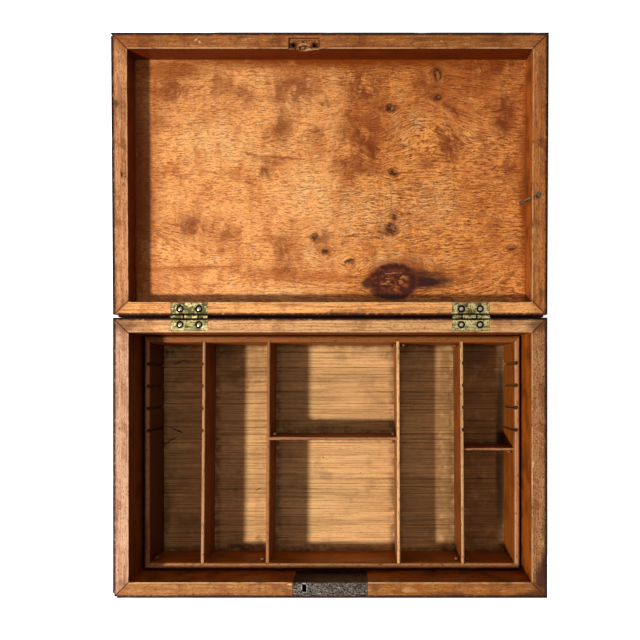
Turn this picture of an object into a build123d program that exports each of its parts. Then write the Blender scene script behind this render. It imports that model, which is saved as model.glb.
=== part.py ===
from build123d import *
import math
import os

os.makedirs("parts", exist_ok=True)

# A document box that stands open: a base, a lid on two butt hinges, and a lift-out tray.
# Sizes are in millimetres. X runs along the box, Y from its front to its back, Z up.
# The origin is the middle of the underside, on the ground.

# Case boards and the dark veneer over them
box_length = 440.0
box_depth = 284.0
base_height = 129.0
side_board = 14.8
front_board = 14.8
base_back_board = 13.8
lid_back_board = 12.8
bottom_board = 8.0
veneer = 1.2
veneer_lift = 0.3

# Lid, drawn shut and then swung open
lid_inside = 22.0
lid_board = 8.0
shut_gap = 0.3
open_angle = 179.0

# How far a cut runs past the face it opens
cut_spare = 1.0

# Butt hinges
hinge_length = 38.0
hinge_from_end = 58.5
hinge_stand_off = 0.9
leaf_width = 14.4
leaf_thickness = 1.5
knuckle_count = 3
knuckle_radius = 2.0
knuckle_gap = 0.2
knuckle_relief = 0.35
pin_radius = 1.0
pin_clearance = 0.05

# Raised-head screws in the hinge leaves
screw_from_pin = 8.0
screw_spacing = 19.0
screw_length = 12.5
screw_radius = 1.4
screw_head_radius = 2.3
screw_head_depth = 0.7
screw_dome = 0.55
screw_slot = 0.6
screw_point = 2.5
countersink_radius = 3.0

# Tray and the room round it
tray_drop = 35.0
tray_inside = 47.5
tray_floor = 4.5
tray_wall = 6.6
tray_back_wall = 7.8
tray_round = 2.4
tray_gap_left = 3.2
tray_gap_right = 2.2
tray_gap_front = 2.7
tray_gap_back = 0.5
seat_gap = 0.3
bearer_width = 10.0
bearer_height = 10.0

# Tray dividers, by the clear width of each room from the left
room_1 = 54.8
room_2 = 65.5
room_3 = 135.4
room_4 = 64.4
divider = 4.0
divider_drop = 0.8
divider_round = 1.3
housing = 1.5
lean_1 = -2.0
lean_2 = -1.7
lean_3 = 1.0
lean_4 = 1.7

# Cross dividers and the grooves for loose ones
centre_cross = 4.0
centre_cross_from_back = 102.3
right_cross = 2.8
right_cross_from_back = 114.0
right_cross_drop = 4.0
groove_width = 2.8
groove_pitch = 23.6
groove_count = 4
groove_from_back_left = 22.8
groove_from_back_right = 21.8
groove_in_wall = 2.0
groove_in_divider = 1.7

# Lock let into the front wall
lock_length = 76.2
lock_height = 38.0
selvage_width = 14.0
lock_metal = 1.6
hook_x = -26.2
hook_hole_width = 4.6
hook_hole_length = 7.9
hook_hole_round = 1.0
hook_hole_from_plate = 0.3
case_left = 33.0
case_right = 23.5
case_height = 30.6
case_depth = 9.6
case_metal = 1.2

# Works of the lock
bolt_travel = 6.5
bolt_height = 8.0
bolt_thickness = 3.0
bolt_below_rim = 10.0
bolt_from_plate = 3.2
bolt_nose_gap = 1.3
bolt_tail = 19.0
stud_radius = 1.2
stud_places = (-8.0, 9.0)
stud_end = 1.0
slide_clearance = 0.15
talon_width = 9.0
talon_depth = 2.5
key_pin_radius = 1.5
key_pin_drop = 23.0
key_pin_length = 10.9
keyhole_radius = 3.6
keyhole_slot = 2.6
keyhole_drop = 7.0
ward_radius = 4.8
ward_metal = 0.8
ward_height = 2.4
ward_mouth = 6.0
spring_metal = 0.7
spring_span = 20.0
spring_clearance = 0.3
lock_screw_drop = 21.5
lock_screw_right = 27.6
lock_screw_left = 35.6
lock_screw_length = 11.0

# Keyhole rim in the front veneer
escutcheon_rim = 1.3
escutcheon_depth = 2.4

# Recess that the lost link plate left in the lid's front rim
link_length = 31.0
link_from_front = 5.2
link_depth = 2.0
link_hole_spacing = 21.2
link_hole_radius = 2.2
link_hole_depth = 9.0
link_hole_from_front = 11.4
break_depth = 5.0
break_reach = 3.4
break_spans = ((-9.0, -5.0, 0.6), (-5.0, 3.5, 1.0), (3.5, 8.5, 0.75))

# Nail of a lost lid stay in the lid's right wall
stay_from_back = 122.5
stay_nail_radius = 1.0
stay_head_radius = 2.6
stay_head = 1.2
stay_from_inside = 7.3
stay_elbow = (2.0, 2.6, 7.0)
stay_tip = (5.5, 2.6, 5.0)
stay_bend = 12.0
stay_burr_radius = 1.5
stay_burr = 2.2

# Nails under the base and pins under the tray
nail_radius = 1.1
nail_head_radius = 2.4
nail_head = 1.0
nail_length = 26.0
nail_sunk = 0.2
nail_from_corner = 34.0
long_wall_nail_count = 4
short_wall_nail_count = 2
tray_pin_radius = 0.6
tray_pin_head_radius = 1.3
tray_pin_length = 17.0

# Chips in the veneer at the corners of the rims
chip_height = 14.0
lid_back_chips = (5.8, 4.4)
base_front_chip = 4.2
lid_left_chip = 2.2
base_left_chip = 3.7

# Faces that the pieces share
half_length = box_length / 2
back_face = box_depth / 2
front_face = -box_depth / 2
board_end = half_length - veneer
board_back = back_face - veneer
board_front = front_face + veneer
inner_end = board_end - side_board
inner_front = board_front + front_board
base_inner_back = board_back - base_back_board
lid_inner_back = board_back - lid_back_board
lid_rim = base_height + shut_gap
lid_board_low = lid_rim + lid_inside
lid_board_high = lid_board_low + lid_board
lid_top = lid_board_high + veneer
pin_y = back_face + hinge_stand_off
pin_z = base_height + shut_gap / 2
hinge_x = half_length - hinge_from_end - hinge_length / 2

tray_top = base_height - tray_drop
tray_floor_top = tray_top - tray_inside
tray_low = tray_floor_top - tray_floor
tray_outer = (
    -inner_end + tray_gap_left,
    inner_end - tray_gap_right,
    inner_front + tray_gap_front,
    base_inner_back - tray_gap_back,
)
tray_inner = (
    tray_outer[0] + tray_wall,
    tray_outer[1] - tray_wall,
    tray_outer[2] + tray_wall,
    tray_outer[3] - tray_back_wall,
)
divider_top = tray_top - divider_drop

plate_front = inner_front - lock_metal
selvage_low = base_height - lock_metal
case_front = plate_front - case_depth
case_low = base_height - case_height
bolt_top = base_height - bolt_below_rim
bolt_low = bolt_top - bolt_height
bolt_y = (plate_front - bolt_from_plate - bolt_thickness, plate_front - bolt_from_plate)
bolt_nose = hook_x + hook_hole_width / 2 + bolt_nose_gap
stud_z = bolt_top - bolt_height / 2
key_z = base_height - key_pin_drop


def block(x, y, z):
    """A block between a low and a high place on each axis."""
    size = [high - low for low, high in (x, y, z)]
    middle = [(low + high) / 2 for low, high in (x, y, z)]
    return Pos(*middle) * Box(*size)


def rod(start, end, radius):
    """A round rod from one point to another."""
    way = Vector(*end) - Vector(*start)
    seat = Plane(origin=start, z_dir=way)
    return seat * Cylinder(radius, way.length, align=(Align.CENTER, Align.CENTER, Align.MIN))


def prism(points, z):
    """A block whose plan is a polygon."""
    plan = make_face(Polyline(*points, close=True))
    return Pos(0, 0, z[0]) * extrude(plan, amount=z[1] - z[0], dir=(0, 0, 1))


def turned(profile):
    """A round piece turned about Z from points of (radius, height), its axis closed."""
    plan = make_face(Plane.XZ * Polyline(*profile, close=True))
    return revolve(plan, axis=Axis.Z)


def corners(sides):
    """The plan corners of (left, right, front, back), from the front left."""
    left, right, front, back = sides
    return (left, front), (right, front), (right, back), (left, back)


def mitred_frame(outer, inner, z):
    """Four boards round a rectangle, mitred where they meet."""
    out = corners(outer)
    ins = corners(inner)
    boards = {}
    for i, name in enumerate(("front", "right", "back", "left")):
        j = (i + 1) % 4
        boards[name] = prism((out[i], out[j], ins[j], ins[i]), z)
    return boards


def veneer_sheets(z):
    """The veneer on the four outer faces, the ends butted behind the front and back."""
    return {
        "front": block((-half_length, half_length), (front_face, board_front), z),
        "back": block((-half_length, half_length), (board_back, back_face), z),
        "left": block((-half_length, -board_end), (board_front, board_back), z),
        "right": block((board_end, half_length), (board_front, board_back), z),
    }


def round_top(board, top, radius, shortest):
    """Rounds the long edges along the top of a board."""
    edges = board.edges().filter_by(lambda e: e.length > shortest)
    edges = edges.filter_by(lambda e: abs(e.center().Z - top) < radius / 100)
    return fillet(edges, radius)


def screw(length):
    """A raised-head wood screw and its uncut blank, pointing down from the surface at 0."""
    shank = -screw_head_depth - (screw_head_radius - screw_radius)
    sphere_radius = (screw_head_radius**2 + screw_dome**2) / (2 * screw_dome)
    dome = Pos(0, 0, screw_dome - screw_head_depth - sphere_radius) * Sphere(sphere_radius)
    dome &= Pos(0, 0, -screw_head_depth) * Cylinder(
        screw_head_radius, screw_dome * 2, align=(Align.CENTER, Align.CENTER, Align.MIN)
    )
    blank = dome + turned(
        (
            (0, -screw_head_depth),
            (screw_head_radius, -screw_head_depth),
            (screw_radius, shank),
            (screw_radius, -length + screw_point),
            (0, -length),
        )
    )
    reach = screw_head_radius * 2
    slot = Pos(0, 0, -screw_head_depth + screw_dome) * Box(screw_slot, reach, screw_dome * 1.5)
    return blank - slot, blank


def countersink(depth):
    """The cone and clear hole that a screw passes through in metal of this thickness."""
    hole_low = -depth - cut_spare
    throat = screw_radius + slide_clearance
    cone_low = -(countersink_radius - throat)
    return turned(
        (
            (0, cut_spare),
            (countersink_radius, cut_spare),
            (countersink_radius, 0),
            (throat, max(cone_low, -depth)),
            (throat, hole_low),
            (0, hole_low),
        )
    )


def along_hinge(x, radius, spare=0.0):
    """A rod on the pin's axis over the length of the hinge at x."""
    reach = hinge_length / 2 + spare
    return rod((x - reach, pin_y, pin_z), (x + reach, pin_y, pin_z), radius)


def leaf(x, side):
    """A hinge leaf with its rolled knuckles; side is 1 on the lid and -1 on the base."""
    near = pin_z + side * shut_gap / 2
    far = near + side * leaf_thickness
    z = (min(near, far), max(near, far))
    solid = block((x - hinge_length / 2, x + hinge_length / 2), (pin_y - leaf_width, pin_y), z)
    third = hinge_length / knuckle_count
    for i in range(knuckle_count):
        start = x - hinge_length / 2 + i * third
        own = (i % 2 == 0) == (side == 1)
        low = start + (knuckle_gap / 2 if i > 0 else 0)
        high = start + third - (knuckle_gap / 2 if i < knuckle_count - 1 else 0)
        if own:
            solid += rod((low, pin_y, pin_z), (high, pin_y, pin_z), knuckle_radius)
        else:
            low -= knuckle_gap if i > 0 else cut_spare
            high += knuckle_gap if i < knuckle_count - 1 else cut_spare
            radius = knuckle_radius + knuckle_relief
            solid -= rod((low, pin_y, pin_z), (high, pin_y, pin_z), radius)
    bore = pin_radius + (pin_clearance if side == 1 else 0)
    solid -= along_hinge(x, bore, cut_spare)
    for place in leaf_screw_places(x, side):
        solid -= place * countersink(leaf_thickness)
    return solid


def leaf_screw_places(x, side):
    """Where the screws of a leaf stand, pointing into its board."""
    z = pin_z + side * shut_gap / 2
    turn = Rot(180, 0, 0) if side == 1 else Rot(0, 0, 0)
    return [
        Pos(x + step * screw_spacing / 2, pin_y - screw_from_pin, z) * turn for step in (-1, 1)
    ]


def leaf_recess(x, side):
    """The room that a leaf and the knuckles take out of a back board and its veneer."""
    near = pin_z + side * shut_gap / 2
    far = near + side * leaf_thickness
    open_side = near - side * cut_spare
    room = block(
        (x - hinge_length / 2, x + hinge_length / 2),
        (pin_y - leaf_width, back_face + cut_spare),
        (min(open_side, far), max(open_side, far)),
    )
    return room + along_hinge(x, knuckle_radius + knuckle_relief, knuckle_relief)


def nail(radius, head_radius, length):
    """A round nail that points up from its head at 0."""
    head = Cylinder(head_radius, nail_head, align=(Align.CENTER, Align.CENTER, Align.MIN))
    shank = Cylinder(radius, length, align=(Align.CENTER, Align.CENTER, Align.MIN))
    return head + shank


def spread(low, high, count):
    """Evenly spaced places from low to high."""
    return [low + (high - low) * i / (count - 1) for i in range(count)]


def wall_places(middles, ends, z):
    """Nail places under four walls; middles are their centre lines as left, right, front, back."""
    left, right, front, back = middles
    places = [(x, y) for y in (front, back) for x in spread(*ends[0], long_wall_nail_count)]
    places += [(x, y) for x in (left, right) for y in spread(*ends[1], short_wall_nail_count)]
    return [Pos(x, y, z) for x, y in places]


def keyhole(spare, y):
    """A keyhole through a wall: a round for the pin and a slot for the bit below it."""
    round_part = rod((0, y[0], key_z), (0, y[1], key_z), keyhole_radius + spare)
    slot_half = keyhole_slot / 2 + spare
    slot_part = block((-slot_half, slot_half), y, (key_z - keyhole_drop - spare, key_z))
    return round_part + slot_part


def make_hinges():
    """Leaves, pins and screws of both hinges, and what they cut from the boards."""
    pieces = {}
    cuts = {"base": [], "lid": []}
    for name, x in (("left", -hinge_x), ("right", hinge_x)):
        for part, side in (("base", -1), ("lid", 1)):
            pieces[f"{part}_hinge_leaf_{name}"] = leaf(x, side)
            cuts[part].append(leaf_recess(x, side))
        pieces[f"hinge_pin_{name}"] = along_hinge(x, pin_radius)
    whole, blank = screw(screw_length)
    for part, side in (("base", -1), ("lid", 1)):
        places = [p for x in (-hinge_x, hinge_x) for p in leaf_screw_places(x, side)]
        pieces[f"{part}_hinge_screws"] = Compound([place * whole for place in places])
        cuts[part] += [place * blank for place in places]
    return pieces, cuts


def make_lock():
    """The box lock, its works and the keyhole rim, and what they cut from the front wall."""
    half = lock_length / 2
    back_plate = block(
        (-half, half), (plate_front, inner_front), (base_height - lock_height, base_height)
    )
    selvage = block(
        (-half, half), (inner_front - selvage_width, inner_front), (selvage_low, base_height)
    )
    hole_y = (
        plate_front - hook_hole_from_plate - hook_hole_length,
        plate_front - hook_hole_from_plate,
    )
    hole_x = (hook_x - hook_hole_width / 2, hook_x + hook_hole_width / 2)
    hole = block(hole_x, hole_y, (selvage_low - cut_spare, base_height + cut_spare))
    hole = fillet(hole.edges().filter_by(Axis.Z), hook_hole_round)
    lock_box = block((-case_left, case_right), (case_front, plate_front), (case_low, selvage_low))
    lock_room = block(
        (-case_left + case_metal, case_right - case_metal),
        (case_front + case_metal, plate_front + cut_spare),
        (case_low + case_metal, selvage_low + cut_spare),
    )
    case_hole = keyhole(0, (case_front - cut_spare, case_front + case_metal + cut_spare))
    case = lock_box - lock_room - case_hole

    bolt = block((bolt_nose, bolt_tail), bolt_y, (bolt_low, bolt_top))
    past_bolt_y = (bolt_y[0] - cut_spare, bolt_y[1] + cut_spare)
    slot_half = stud_radius + slide_clearance
    for x in stud_places:
        bolt -= block(
            (x - slot_half, x + bolt_travel + slot_half),
            past_bolt_y,
            (stud_z - slot_half, stud_z + slot_half),
        )
    talon_x = (-keyhole_slot / 2, talon_width - keyhole_slot / 2)
    bolt -= block(talon_x, past_bolt_y, (bolt_low - cut_spare, bolt_low + talon_depth))

    stud_tip = bolt_y[0] - stud_end
    studs = [rod((x, plate_front, stud_z), (x, stud_tip, stud_z), stud_radius) for x in stud_places]
    key_pin = rod((0, plate_front, key_z), (0, plate_front - key_pin_length, key_z), key_pin_radius)
    ward_y = (plate_front - ward_height, plate_front)
    ward = rod((0, ward_y[1], key_z), (0, ward_y[0], key_z), ward_radius)
    ward -= rod(
        (0, ward_y[1] + cut_spare, key_z),
        (0, ward_y[0] - cut_spare, key_z),
        ward_radius - ward_metal,
    )
    mouth_low = key_z - ward_radius - cut_spare
    ward -= block((-ward_mouth / 2, ward_mouth / 2), ward_y, (mouth_low, key_z))

    foot = bolt_top + spring_clearance
    rise = selvage_low - foot
    bow = ((spring_span / 2) ** 2 + rise**2) / (2 * rise)
    spring_x = case_right - case_metal - spring_clearance - spring_span / 2
    bow_z = selvage_low - bow
    spring = rod((spring_x, bolt_y[0], bow_z), (spring_x, bolt_y[1], bow_z), bow)
    spring -= rod(
        (spring_x, past_bolt_y[0], bow_z), (spring_x, past_bolt_y[1], bow_z), bow - spring_metal
    )
    spring &= block(
        (spring_x - spring_span / 2, spring_x + spring_span / 2), bolt_y, (foot, selvage_low)
    )

    whole, blank = screw(lock_screw_length)
    places = [
        Pos(x, inner_front, base_height - lock_screw_drop) * Rot(-90, 0, 0)
        for x in (-lock_screw_left, lock_screw_right)
    ]
    plate = back_plate + selvage - hole
    for place in places:
        plate -= place * countersink(lock_metal)

    rim_y = (front_face, front_face + escutcheon_depth)
    rim_room = keyhole(escutcheon_rim, rim_y)
    escutcheon = rim_room - keyhole(0, (rim_y[0] - cut_spare, rim_y[1] + cut_spare))

    pieces = {
        "lock_plate": plate,
        "lock_case": case,
        "lock_bolt": bolt,
        "lock_studs": Compound(studs),
        "lock_key_pin": key_pin,
        "lock_ward": ward,
        "lock_spring": spring,
        "lock_screws": Compound([place * whole for place in places]),
        "keyhole_escutcheon": escutcheon,
    }
    wall_hole = keyhole(0, (front_face - cut_spare, case_front + cut_spare))
    cuts = [back_plate, selvage, lock_box, rim_room, wall_hole]
    cuts += [place * blank for place in places]
    return pieces, cuts


def make_base(hinge_cuts, lock_cuts):
    """Walls, bottom, bearers, nails and veneer of the base."""
    outer = (-board_end, board_end, board_front, board_back)
    inner = (-inner_end, inner_end, inner_front, base_inner_back)
    walls = mitred_frame(outer, inner, (bottom_board, base_height))
    bottom = prism(corners(outer), (0, bottom_board))
    middles = [(a + b) / 2 for a, b in zip(outer, inner)]
    ends = (
        (-half_length + nail_from_corner, half_length - nail_from_corner),
        (front_face + nail_from_corner, back_face - nail_from_corner),
    )
    nails = [
        place * nail(nail_radius, nail_head_radius, nail_length)
        for place in wall_places(middles, ends, nail_sunk)
    ]
    sheets = veneer_sheets((veneer_lift, base_height))
    for cut in hinge_cuts:
        walls["back"] -= cut
        sheets["back"] -= cut
    for cut in lock_cuts:
        walls["front"] -= cut
        sheets["front"] -= cut
    for one in nails:
        bottom -= one
        bottom -= Pos(0, 0, -nail_sunk) * one
        walls = {name: wall - one for name, wall in walls.items()}
    chip_z = (base_height - chip_height, base_height + cut_spare)
    past_left = -half_length - cut_spare
    sheets["front"] -= block(
        (past_left, -half_length + base_front_chip), (front_face - cut_spare, board_front), chip_z
    )
    sheets["left"] -= block(
        (past_left, -board_end), (front_face, board_front + base_left_chip), chip_z
    )
    pieces = {f"base_wall_{name}": wall for name, wall in walls.items()}
    pieces |= {f"base_veneer_{name}": sheet for name, sheet in sheets.items()}
    pieces["base_bottom"] = bottom
    pieces["base_bottom_nails"] = Compound(nails)
    bearer_top = tray_low - seat_gap
    bearer_z = (bearer_top - bearer_height, bearer_top)
    bearer_y = (inner_front, base_inner_back)
    pieces["tray_bearer_left"] = block((-inner_end, -inner_end + bearer_width), bearer_y, bearer_z)
    pieces["tray_bearer_right"] = block((inner_end - bearer_width, inner_end), bearer_y, bearer_z)
    return pieces


def link_recess():
    """The torn-out seat of the lost link plate, cut from the lid's front rim."""
    seat = block(
        (hook_x - link_length / 2, hook_x + link_length / 2),
        (front_face + link_from_front, inner_front + cut_spare),
        (lid_rim - cut_spare, lid_rim + link_depth),
    )
    for step in (-1, 1):
        x = hook_x + step * link_hole_spacing / 2
        y = front_face + link_hole_from_front
        seat += rod((x, y, lid_rim), (x, y, lid_rim + link_hole_depth), link_hole_radius)
    for start, end, share in break_spans:
        seat += block(
            (hook_x + start, hook_x + end),
            (inner_front - break_reach * share, inner_front + cut_spare),
            (lid_rim, lid_rim + break_depth * share),
        )
    return seat


def make_stay_nail():
    """The bent nail of a lost lid stay, from its head in the rim to its burred tip inside."""
    y = back_face - stay_from_back
    head = (inner_end + stay_from_inside, y, lid_rim)
    under = (head[0], y, lid_rim + stay_head)
    elbow = (inner_end - stay_elbow[0], y + stay_elbow[1], lid_rim + stay_elbow[2])
    tip = (elbow[0] - stay_tip[0], elbow[1] + stay_tip[1], elbow[2] + stay_tip[2])
    path = FilletPolyline(under, elbow, tip, radius=stay_bend)
    shank = sweep(Plane(origin=under, z_dir=path % 0) * Circle(stay_nail_radius), path=path)
    burr = rod(tip, Vector(*tip) + (path % 1) * stay_burr, stay_burr_radius)
    return rod(head, under, stay_head_radius) + shank + burr


def make_lid(hinge_cuts):
    """Frame, top board and veneer of the lid, as it lies when shut."""
    outer = (-board_end, board_end, board_front, board_back)
    inner = (-inner_end, inner_end, inner_front, lid_inner_back)
    walls = mitred_frame(outer, inner, (lid_rim, lid_board_low))
    sheets = veneer_sheets((lid_rim, lid_board_high))
    stay_nail = make_stay_nail()
    for cut in hinge_cuts:
        walls["back"] -= cut
        sheets["back"] -= cut
    walls["front"] -= link_recess()
    walls["right"] -= stay_nail
    chip_z = (lid_rim - cut_spare, lid_rim + chip_height)
    back_y = (board_back, back_face + cut_spare)
    past_left = -half_length - cut_spare
    left_chip, right_chip = lid_back_chips
    sheets["back"] -= block((past_left, -half_length + left_chip), back_y, chip_z)
    sheets["back"] -= block((half_length - right_chip, half_length + cut_spare), back_y, chip_z)
    sheets["left"] -= block(
        (past_left, -board_end), (front_face, board_front + lid_left_chip), chip_z
    )
    pieces = {f"lid_wall_{name}": wall for name, wall in walls.items()}
    pieces |= {f"lid_veneer_{name}": sheet for name, sheet in sheets.items()}
    pieces["lid_board"] = prism(corners(outer), (lid_board_low, lid_board_high))
    whole = (-half_length, half_length, front_face, back_face)
    pieces["lid_veneer_top"] = prism(corners(whole), (lid_board_high, lid_top))
    pieces["lid_stay_nail"] = stay_nail
    return pieces


def make_divider(x, lean, grooved_side, first_groove):
    """A long divider and its housing; lean is how far right its front end stands of its back
    end, and grooved_side is -1, 0 or 1 for its grooved face."""
    length = tray_inner[3] - tray_inner[2] + 2 * housing
    middle_y = (tray_inner[2] + tray_inner[3]) / 2
    past_z = (tray_floor_top - cut_spare, tray_top + cut_spare)
    solid = block(
        (-divider / 2, divider / 2), (-length / 2, length / 2), (tray_floor_top, divider_top)
    )
    solid = round_top(solid, divider_top, min(divider_round, divider / 3), divider * 2)
    for i in range(groove_count if grooved_side else 0):
        y = length / 2 - housing - first_groove - i * groove_pitch
        face = grooved_side * divider / 2
        low, high = sorted(
            (face + grooved_side * cut_spare, face - grooved_side * groove_in_divider)
        )
        solid -= block(
            (low, high),
            (y - groove_width / 2, y + groove_width / 2),
            past_z,
        )
    room = block(
        (-divider / 2, divider / 2), (-length / 2, length / 2), (tray_floor_top, past_z[1])
    )
    place = Pos(x, middle_y, 0) * Rot(0, 0, math.degrees(math.atan2(lean, length)))
    return place * solid, place * room


def make_tray():
    """The lift-out tray: walls, floor, dividers and pins."""
    walls = mitred_frame(tray_outer, tray_inner, (tray_floor_top, tray_top))
    radius = min(tray_round, tray_wall / 2.2)
    walls = {n: round_top(w, tray_top, radius, tray_wall * 2) for n, w in walls.items()}
    left, right, front, back = tray_inner

    x_1 = left + room_1 + divider / 2
    x_2 = x_1 + divider + room_2
    x_3 = x_2 + divider + room_3
    x_4 = x_3 + divider + room_4
    plan = (
        (x_1, lean_1, -1, groove_from_back_left),
        (x_2, lean_2, 0, 0.0),
        (x_3, lean_3, 0, 0.0),
        (x_4, lean_4, 1, groove_from_back_right),
    )
    pieces = {}
    for i, row in enumerate(plan):
        solid, room = make_divider(*row)
        pieces[f"tray_divider_{i + 1}"] = solid
        walls["front"] -= room
        walls["back"] -= room

    for i in range(groove_count):
        for name, face, side, first in (
            ("left", left, -1, groove_from_back_left),
            ("right", right, 1, groove_from_back_right),
        ):
            y = back - first - i * groove_pitch
            low, high = sorted((face - side * cut_spare, face + side * groove_in_wall))
            walls[name] -= block(
                (low, high),
                (y - groove_width / 2, y + groove_width / 2),
                (tray_floor_top - cut_spare, tray_top + cut_spare),
            )

    centre_y = back - centre_cross_from_back
    cross = block(
        (x_2, x_3),
        (centre_y - centre_cross / 2, centre_y + centre_cross / 2),
        (tray_floor_top, divider_top),
    )
    cross = round_top(cross, divider_top, min(divider_round, centre_cross / 3), divider * 2)
    pieces["tray_cross_centre"] = cross - pieces["tray_divider_2"] - pieces["tray_divider_3"]
    right_y = back - right_cross_from_back
    cross = block(
        (x_4, right),
        (right_y - right_cross / 2, right_y + right_cross / 2),
        (tray_floor_top, tray_top - right_cross_drop),
    )
    pieces["tray_cross_right"] = cross - pieces["tray_divider_4"]

    floor = prism(corners(tray_outer), (tray_low, tray_floor_top))
    middles = [(a + b) / 2 for a, b in zip(tray_outer, tray_inner)]
    ends = (
        (tray_outer[0] + nail_from_corner, tray_outer[1] - nail_from_corner),
        (tray_outer[2] + nail_from_corner, tray_outer[3] - nail_from_corner),
    )
    pins = [
        place * nail(tray_pin_radius, tray_pin_head_radius, tray_pin_length)
        for place in wall_places(middles, ends, tray_low + nail_sunk)
    ]
    for pin in pins:
        floor -= pin
        floor -= Pos(0, 0, -nail_sunk) * pin
        walls = {name: wall - pin for name, wall in walls.items()}
    pieces |= {f"tray_wall_{name}": wall for name, wall in walls.items()}
    pieces["tray_floor"] = floor
    pieces["tray_pins"] = Compound(pins)
    return pieces


hinge_pieces, hinge_cuts = make_hinges()
lock_pieces, lock_cuts = make_lock()
base_pieces = make_base(hinge_cuts["base"], lock_cuts)
base_pieces |= lock_pieces
base_pieces |= {n: p for n, p in hinge_pieces.items() if not n.startswith("lid_")}
tray_pieces = make_tray()
lid_pieces = make_lid(hinge_cuts["lid"])
lid_pieces |= {n: p for n, p in hinge_pieces.items() if n.startswith("lid_")}

hinge_axis = Axis((0, pin_y, pin_z), (1, 0, 0))
lid_pieces = {name: piece.rotate(hinge_axis, -open_angle) for name, piece in lid_pieces.items()}

for name, piece in (base_pieces | tray_pieces | lid_pieces).items():
    export_step(piece, f"parts/{name}.step")
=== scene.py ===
import math
import random

import bmesh
import bpy
from bpy.props import FloatProperty, FloatVectorProperty, PointerProperty
from mathutils import Matrix, Vector, noise


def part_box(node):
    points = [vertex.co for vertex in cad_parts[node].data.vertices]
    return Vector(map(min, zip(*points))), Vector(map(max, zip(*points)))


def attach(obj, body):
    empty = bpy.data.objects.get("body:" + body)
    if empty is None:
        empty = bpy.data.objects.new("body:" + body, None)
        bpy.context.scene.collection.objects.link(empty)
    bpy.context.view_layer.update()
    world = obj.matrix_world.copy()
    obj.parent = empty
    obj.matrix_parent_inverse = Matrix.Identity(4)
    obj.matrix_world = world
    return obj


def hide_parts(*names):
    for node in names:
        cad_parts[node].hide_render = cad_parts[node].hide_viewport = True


bl_info = {
    "name": "Document box finish",
    "version": (1, 0, 0),
    "blender": (4, 5, 0),
    "location": "3D View > Sidebar > Document box",
    "description": "Finishes, worn edges and small marks of an old document box",
    "category": "Object",
}

MM = 0.001

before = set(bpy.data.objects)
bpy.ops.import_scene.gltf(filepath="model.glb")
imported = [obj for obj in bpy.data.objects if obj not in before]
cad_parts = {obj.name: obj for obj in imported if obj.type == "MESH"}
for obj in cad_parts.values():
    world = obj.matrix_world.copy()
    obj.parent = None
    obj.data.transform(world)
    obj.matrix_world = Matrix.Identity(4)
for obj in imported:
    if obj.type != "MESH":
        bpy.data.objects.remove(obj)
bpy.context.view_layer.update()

QUARTER = math.radians(90)
# A MapRange takes a value, the range it comes from and the range it goes to, in that order
SMOOTH = {"interpolation_type": "SMOOTHSTEP"}


def linear(code):
    """An sRGB hex colour as linear red, green, blue and alpha."""
    parts = [int(code[i : i + 2], 16) / 255 for i in (1, 3, 5)]
    return tuple(p / 12.92 if p <= 0.04045 else ((p + 0.055) / 1.055) ** 2.4 for p in parts) + (1.0,)


def hue(name, description, code):
    """A colour that a user may change."""
    return FloatVectorProperty(
        name=name, description=description, subtype="COLOR", size=4, min=0, max=1, default=linear(code)
    )


def length(name, description, millimetres):
    """A length that a user may change."""
    return FloatProperty(
        name=name, description=description, unit="LENGTH", min=0, precision=5, default=millimetres * MM
    )


class RimLook(bpy.types.PropertyGroup):
    """Frame boards of the base and the lid."""

    fibre: hue("Fibre", "Darker streaks along a board", "#8a4a1e")
    fleck: hue("Fleck", "Short dark pores", "#4a2410")
    # Grime also paints the shade and shadow in a few of the rim's marks
    grime_and_shade: hue("Grime", "Dirt along the edges of the rim", "#3a1a0c")
    chip: hue("Chip", "Fresh broken wood", "#e3b27c")
    kept_varnish: hue("Kept varnish", "Amber varnish left on a rim", "#a8601c")
    varnish_dark: hue("Dark varnish", "Streaks in the varnished faces", "#4c1d04")
    fibre_width: length("Fibre width", "Width of a streak", 1.3)
    fleck_length: length("Fleck length", "Length of a pore", 3.5)
    wear: length("Wear", "How far an arris is rubbed away", 0.7)


class PanelLook(bpy.types.PropertyGroup):
    """Figured board inside the lid."""

    light: hue("Light wood", "Golden ground", "#fdac62")
    # The glow colour also paints the sheen of the figure's chatoyance
    glow: hue("Glow", "Palest flames", "#ffc07a")
    amber: hue("Amber", "Deeper ground of the right half", "#ffa654")
    deep: hue("Deep wood", "Orange brown clouds", "#b45a1e")
    dash: hue("Dash", "Fine dark dashes of the grain", "#7c3208")
    smoke: hue("Smoke", "Dark figure", "#7c3814")
    # The shade colour is old varnish, and painted shade in the left wall's shadow
    shade: hue("Shade", "Old varnish under the walls", "#8c420e")
    knot: hue("Knot", "Core of a knot", "#381309")
    bark: hue("Bark", "Light lines in a knot", "#c87c3c")
    dash_length: length("Dash length", "Length of a dash", 7.0)
    dash_width: length("Dash width", "Width of a dash, drawn coarse enough to show", 1.0)


class TrayLook(bpy.types.PropertyGroup):
    """Lift-out tray."""

    stained_dark: hue("Dark stained wood", "Streaks in the walls and dividers", "#4c1f07")
    pine: hue("Pine", "Early wood of the floor", "#f2b878")
    late: hue("Late wood", "Dark growth lines of the floor", "#664018")
    dirt: hue("Dirt", "Grime on the floor", "#3a2510")
    glue: hue("Glue", "Dried drops of hide glue", "#7a4a22")
    ring_pitch: length("Growth ring", "Distance between growth lines", 4.2)


class VeneerLook(bpy.types.PropertyGroup):
    """Dark veneer outside."""

    ground: hue("Ground", "Red brown of the veneer", "#612e1a")
    streak: hue("Streak", "Black figure", "#1c0b07")
    rubbed: hue("Rubbed", "Where the polish is worn", "#7c4a2c")


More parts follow.
